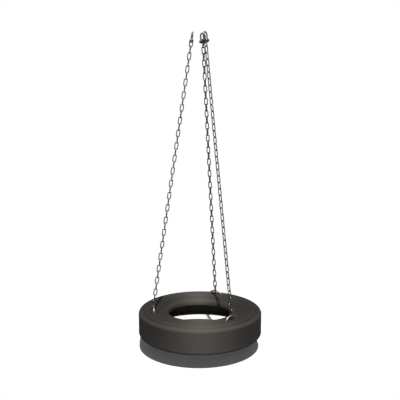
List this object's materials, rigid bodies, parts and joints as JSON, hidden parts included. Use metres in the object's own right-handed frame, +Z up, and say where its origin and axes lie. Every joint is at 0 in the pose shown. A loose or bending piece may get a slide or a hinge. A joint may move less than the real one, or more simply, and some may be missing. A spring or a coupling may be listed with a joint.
{
  "type": "tire swing",
  "caption": "Tire laid flat with an open underside, hung by three steel chains from bow shackles and held at its sidewall by U-bolts.",
  "frame": {"origin": "the hanging point: level with the tops of the shackle bows, midway between them", "axes": "+Z up along the hanging axis, -Y to the front, the left chain on -X"},
  "size_m": [0.616, 0.616, 1.4782],
  "materials": {
    "tire_rubber": "matte black rubber with a faint brown dust",
    "chain_steel": "zinc-plated steel, dulled",
    "bolt_steel": "zinc-plated steel",
    "shackle_steel": "dark galvanised steel"
  },
  "bodies": {
    "root": {"left_shackle_bow": "shackle_steel", "left_shackle_pin": "shackle_steel", "left_shackle_nut": "shackle_steel", "rear_shackle_bow": "shackle_steel", "rear_shackle_pin": "shackle_steel", "rear_shackle_nut": "shackle_steel", "front_shackle_bow": "shackle_steel", "front_shackle_pin": "shackle_steel", "front_shackle_nut": "shackle_steel"},
    "left_chain": {"left_top_link": "chain_steel", "left_chain_upper": "chain_steel", "left_chain_upper_middle": "chain_steel", "left_chain_lower_middle": "chain_steel", "left_chain_lower": "chain_steel", "left_bottom_link": "chain_steel"},
    "rear_chain": {"rear_top_link": "chain_steel", "rear_chain_upper": "chain_steel", "rear_chain_upper_middle": "chain_steel", "rear_chain_lower_middle": "chain_steel", "rear_chain_lower": "chain_steel"},
    "front_chain": {"front_top_link": "chain_steel", "front_chain_upper": "chain_steel", "front_chain_upper_middle": "chain_steel", "front_chain_lower_middle": "chain_steel", "front_chain_lower": "chain_steel"},
    "tire": {"tire_shell": "tire_rubber", "left_u_bolt": "bolt_steel", "left_backing_plate": "bolt_steel", "left_washer_a": "bolt_steel", "left_washer_b": "bolt_steel", "left_nut_a": "bolt_steel", "left_nut_b": "bolt_steel", "rear_u_bolt": "bolt_steel", "rear_backing_plate": "bolt_steel", "rear_washer_a": "bolt_steel", "rear_washer_b": "bolt_steel", "rear_nut_a": "bolt_steel", "rear_nut_b": "bolt_steel", "front_u_bolt": "bolt_steel", "front_backing_plate": "bolt_steel", "front_washer_a": "bolt_steel", "front_washer_b": "bolt_steel", "front_nut_a": "bolt_steel", "front_nut_b": "bolt_steel", "rear_bottom_link": "chain_steel", "front_bottom_link": "chain_steel"}
  },
  "joints": [
    {"name": "swing", "type": "hinge", "parent": "root", "child": "left_chain", "pos_m": [-0.041, 0, -0.04236], "axis": [1, 0, 0], "range_deg": [-20, 20]},
    {"name": "rear_chain_swing", "type": "hinge", "parent": "root", "child": "rear_chain", "pos_m": [0.0205, 0.03551, -0.04236], "axis": [1, 0, 0], "range_deg": [-20.1, 20.1]},
    {"name": "front_chain_swing", "type": "hinge", "parent": "root", "child": "front_chain", "pos_m": [0.0205, -0.03551, -0.04236], "axis": [1, 0, 0], "range_deg": [-20.1, 20.1]},
    {"name": "tire_tilt", "type": "hinge", "parent": "left_chain", "child": "tire", "pos_m": [-0.235, 0, -1.32917], "axis": [1, 0, 0], "range_deg": [-3.5, 3.5]}
  ],
  "couplings": [
    {"joint": "rear_chain_swing", "follows": "swing", "ratio": 1.0037},
    {"joint": "front_chain_swing", "follows": "swing", "ratio": 1.0037},
    {"joint": "tire_tilt", "follows": "swing", "ratio": -0.17}
  ]
}
